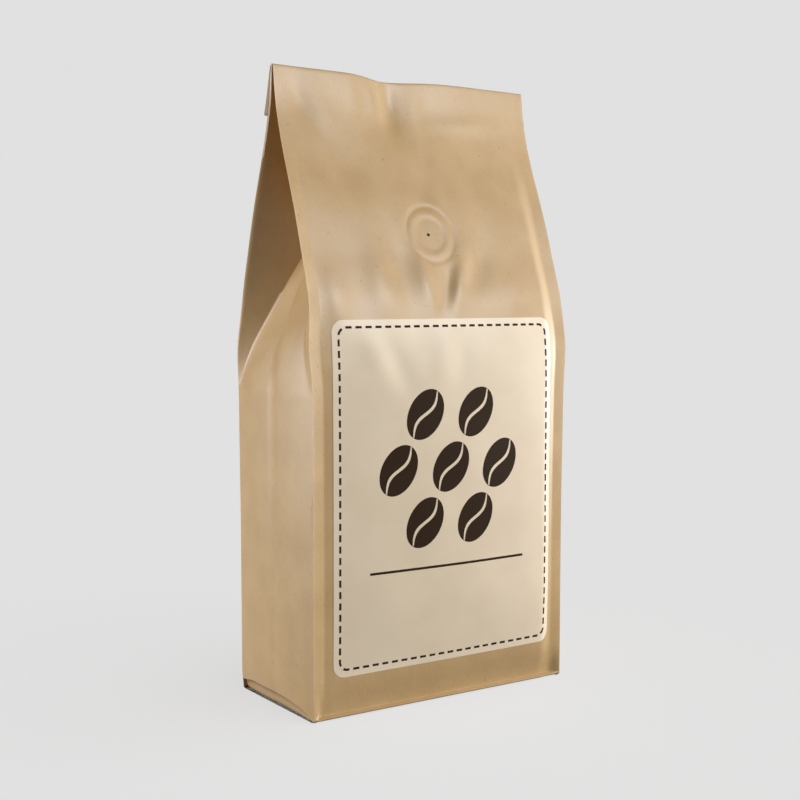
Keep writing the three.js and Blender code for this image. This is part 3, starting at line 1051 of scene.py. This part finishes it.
def add_half_bean(points, faces, arc, cleft, side, turn, middle_u, middle_v):
    """A strip of quads between the arc and the cleft, both from the top down, with a face and a back."""
    across = 5
    start = len(points)
    count = len(arc)
    for lift in (PRINT_LIFT, -PRINT_LIFT):
        for outer, inner in zip(arc, cleft):
            for j in range(across + 1):
                u = lerp(inner[0], outer[0], j / across)
                v = lerp(inner[1], outer[1], j / across)
                turned_u = u * math.cos(turn) + v * math.sin(turn)
                turned_v = v * math.cos(turn) - u * math.sin(turn)
                points.append(on_label(middle_u + turned_u, middle_v + turned_v, lift))
    width = across + 1
    back = count * width

    def quad(a, b, c, d):
        faces.append((a, b, c, d) if side > 0 else (d, c, b, a))

    for i in range(count - 1):
        for j in range(across):
            a = start + i * width + j
            quad(a, a + width, a + width + 1, a + 1)
            a += back
            quad(a, a + 1, a + width + 1, a + width)
    for i in range(count - 1):
        a = start + i * width
        quad(a, a + back, a + back + width, a + width)
        a += across
        quad(a, a + width, a + back + width, a + back)
    for j in range(across):
        a = start + j
        quad(a, a + 1, a + back + 1, a + back)
        a += (count - 1) * width
        quad(a, a + back, a + back + 1, a + 1)


def make_rule(ink):
    """A thin straight line printed under the beans."""
    points, faces = [], []
    steps = 60
    v = RULE_Z - LABEL_BOTTOM
    for i in range(steps + 1):
        u = lerp(-RULE_LENGTH / 2, RULE_LENGTH / 2, i / steps)
        for dv in (-RULE_HEIGHT / 2, RULE_HEIGHT / 2):
            points += [on_label(u, v + dv, PRINT_LIFT), on_label(u, v + dv, -PRINT_LIFT)]
    for i in range(steps):
        a = 4 * i
        b = a + 4
        faces += [(a, b, b + 2, a + 2), (a + 1, a + 3, b + 3, b + 1)]
        faces += [(a, a + 1, b + 1, b), (a + 2, b + 2, b + 3, a + 3)]
    end = 4 * steps
    faces += [(0, 2, 3, 1), (end, end + 1, end + 3, end + 2)]
    return mesh_object("label_rule", points, faces, ink)


# Stage

def make_floor():
    mesh = bpy.data.meshes.new("floor")
    half = FLOOR_SIZE / 2
    corners = [(-half, -half, 0), (half, -half, 0), (half, half, 0), (-half, half, 0)]
    mesh.from_pydata(corners, [], [(0, 1, 2, 3)])
    mesh.materials.append(floor_paint())
    floor = bpy.data.objects.new("floor", mesh)
    bpy.context.scene.collection.objects.link(floor)
    floor.visible_diffuse = False
    return floor


def make_world():
    """An even background behind the bag, and a weaker even light on it."""
    world = bpy.data.worlds.new("studio")
    world.use_nodes = True
    nodes, links = world.node_tree.nodes, world.node_tree.links
    background = nodes["Background"]
    seen = nodes.new("ShaderNodeLightPath")
    strength = nodes.new("ShaderNodeMapRange")
    strength.inputs["To Min"].default_value = FILL
    strength.inputs["To Max"].default_value = BACKGROUND
    links.new(seen.outputs["Is Camera Ray"], strength.inputs["Value"])
    links.new(strength.outputs["Result"], background.inputs["Strength"])
    background.inputs["Color"].default_value = (1, 1, 1, 1)
    bpy.context.scene.world = world


def direction(azimuth, elevation):
    """From the bag towards a light, by degrees to the right of straight before it and above the floor."""
    turn, rise = math.radians(azimuth), math.radians(elevation)
    return Vector((math.sin(turn) * math.cos(rise), -math.cos(turn) * math.cos(rise), math.sin(rise)))


def make_floor_light(floor):
    """A far, wide light for the floor alone, in which the bag casts its soft shadow."""
    azimuth, elevation, width = FLOOR_LIGHT
    data = bpy.data.lights.new("floor_light", "SUN")
    data.angle = math.radians(width)
    data.energy = FLOOR_SHADOW * math.pi / (FLOOR_SHADE * math.sin(math.radians(elevation)))
    light = bpy.data.objects.new("floor_light", data)
    bpy.context.scene.collection.objects.link(light)
    light.rotation_euler = (-direction(azimuth, elevation)).to_track_quat("-Z", "Y").to_euler()
    only_floor = bpy.data.collections.new("lit_by_floor_light")
    only_floor.objects.link(floor)
    light.light_linking.receiver_collection = only_floor


def make_light(name, azimuth, elevation, size, watts, lit):
    """A soft square light that faces the bag's middle. It lights only the pieces in a collection."""
    data = bpy.data.lights.new(name, "AREA")
    data.shape = "SQUARE"
    data.size = size
    data.energy = watts
    light = bpy.data.objects.new(name, data)
    bpy.context.scene.collection.objects.link(light)
    way = direction(azimuth, elevation)
    light.location = Vector((0, 0, HEIGHT * MM / 2)) + way * LIGHT_DISTANCE
    light.rotation_euler = (-way).to_track_quat("-Z", "Y").to_euler()
    light.light_linking.receiver_collection = lit


def make_camera():
    data = bpy.data.cameras.new("camera")
    data.sensor_width = SENSOR
    data.lens = FOCAL_PIXELS * SENSOR / PICTURE_PIXELS
    camera = bpy.data.objects.new("camera", data)
    bpy.context.scene.collection.objects.link(camera)
    camera.location = (Vector(CAMERA_PLACE) + SHIFT) * MM
    yaw, pitch = math.radians(CAMERA_HEADING), math.radians(CAMERA_PITCH)
    look = Vector((math.sin(yaw) * math.cos(pitch), math.cos(yaw) * math.cos(pitch), math.sin(pitch)))
    camera.rotation_euler = look.to_track_quat("-Z", "Y").to_euler()
    bpy.context.scene.camera = camera


make_camera()
kraft = kraft_paper()
stock = label_paper()
ink = label_ink()
pieces = {
    "kraft_paper": [make_bag(kraft), make_flap(kraft)],
    "label_paper": [make_label(stock)],
}
prints = [make_border(ink), make_beans(ink), make_rule(ink)]
lit = bpy.data.collections.new("lit_by_studio_lights")
for slot, made in pieces.items():
    for piece in made:
        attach(piece, "root")
        lit.objects.link(piece)
for piece in prints:
    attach(piece, "root")
    lit.objects.link(piece)
make_floor_light(make_floor())
make_world()
for light in LIGHTS:
    make_light(*light, lit)
bpy.context.scene.view_settings.view_transform = "Standard"
